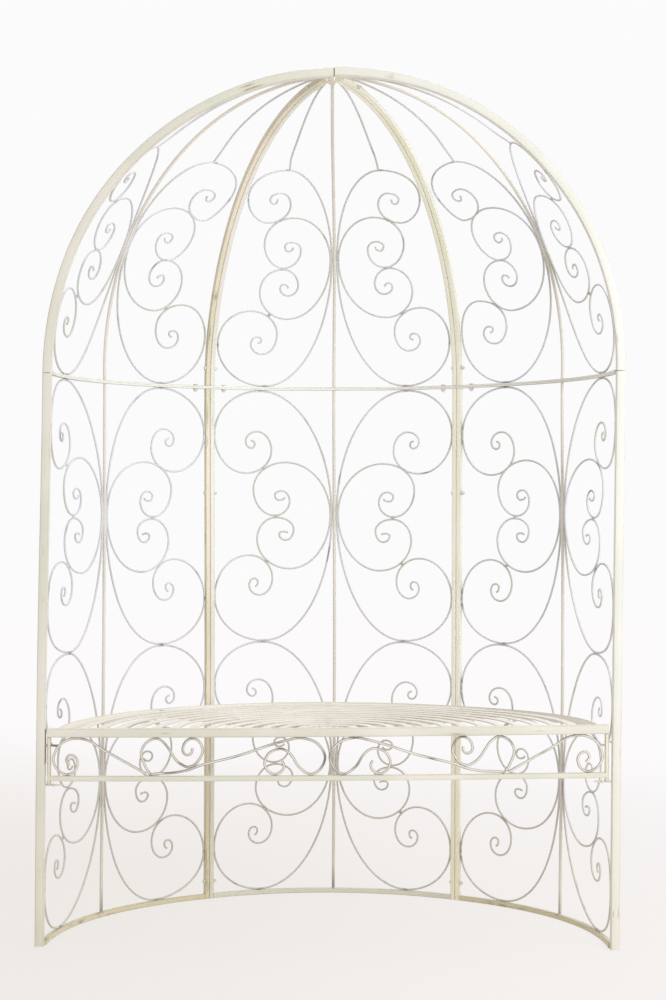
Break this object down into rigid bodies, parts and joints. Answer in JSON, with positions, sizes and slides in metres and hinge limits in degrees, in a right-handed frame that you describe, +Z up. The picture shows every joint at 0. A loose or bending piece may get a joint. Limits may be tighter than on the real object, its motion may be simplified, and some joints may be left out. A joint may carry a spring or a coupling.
{
  "type": "arbour seat",
  "caption": "Half-round steel arbour seat: scrollwork wall panels and dome behind a round-topped front arch, with a slatted bench across the inside.",
  "frame": {"origin": "on the floor, at the middle of the footprint's width and depth", "axes": "+Z up, the open front faces -Y, +X to the right of someone looking at the front"},
  "size_m": [1.32, 0.658, 2],
  "materials": {
    "tube_paint": "antique cream paint on square steel tube and flat bar, satin, slightly chalky",
    "rod_paint": "antique cream paint on round rod, rubbed back with brown-grey patina at the welds",
    "seat_paint": "antique cream paint on the seat's flat bars, with tan edges where it is worn",
    "fastener": "bolts and nuts painted over with the frame"
  },
  "bodies": {
    "root": {"apex_bracket": "tube_paint", "bench_apron_rail": "tube_paint", "bench_front_bar": "tube_paint", "bench_left_end": "tube_paint", "bench_left_end_scroll": "rod_paint", "bench_left_lower_bolt": "fastener", "bench_left_middle_scroll": "rod_paint", "bench_left_rear_spacer": "fastener", "bench_left_upper_bolt": "fastener", "bench_right_end": "tube_paint", "bench_right_end_scroll": "rod_paint", "bench_right_lower_bolt": "fastener", "bench_right_middle_scroll": "rod_paint", "bench_right_rear_spacer": "fastener", "bench_right_upper_bolt": "fastener", "bench_rim": "seat_paint", "bench_seat_slats": "seat_paint", "centre_dome_bottom_bar": "tube_paint", "centre_dome_centre_rod": "rod_paint", "centre_dome_rib_left": "tube_paint", "centre_dome_rib_right": "tube_paint", "centre_dome_scrolls_left": "rod_paint", "centre_dome_scrolls_right": "rod_paint", "centre_wall_bottom_rail": "tube_paint", "centre_wall_centre_rod": "rod_paint", "centre_wall_scrolls_left": "rod_paint", "centre_wall_scrolls_right": "rod_paint", "centre_wall_side_member_left": "tube_paint", "centre_wall_side_member_right": "tube_paint", "centre_wall_top_bar": "tube_paint", "left_arch_half": "tube_paint", "left_dome_bottom_bar": "tube_paint", "left_dome_centre_rod": "rod_paint", "left_dome_rib_right": "tube_paint", "left_dome_scrolls_left": "rod_paint", "left_dome_scrolls_right": "rod_paint", "left_front_post": "tube_paint", "left_wall_bottom_rail": "tube_paint", "left_wall_centre_rod": "rod_paint", "left_wall_scrolls_left": "rod_paint", "left_wall_scrolls_right": "rod_paint", "left_wall_side_member_right": "tube_paint", "left_wall_top_bar": "tube_paint", "right_arch_half": "tube_paint", "right_dome_bottom_bar": "tube_paint", "right_dome_centre_rod": "rod_paint", "right_dome_rib_left": "tube_paint", "right_dome_scrolls_left": "rod_paint", "right_dome_scrolls_right": "rod_paint", "right_front_post": "tube_paint", "right_wall_bottom_rail": "tube_paint", "right_wall_centre_rod": "rod_paint", "right_wall_scrolls_left": "rod_paint", "right_wall_scrolls_right": "rod_paint", "right_wall_side_member_left": "tube_paint", "right_wall_top_bar": "tube_paint", "ring_bolt_centre_panel_left": "fastener", "ring_bolt_centre_panel_right": "fastener", "ring_bolt_left_panel_left": "fastener", "ring_bolt_right_panel_right": "fastener"}
  },
  "joints": []
}
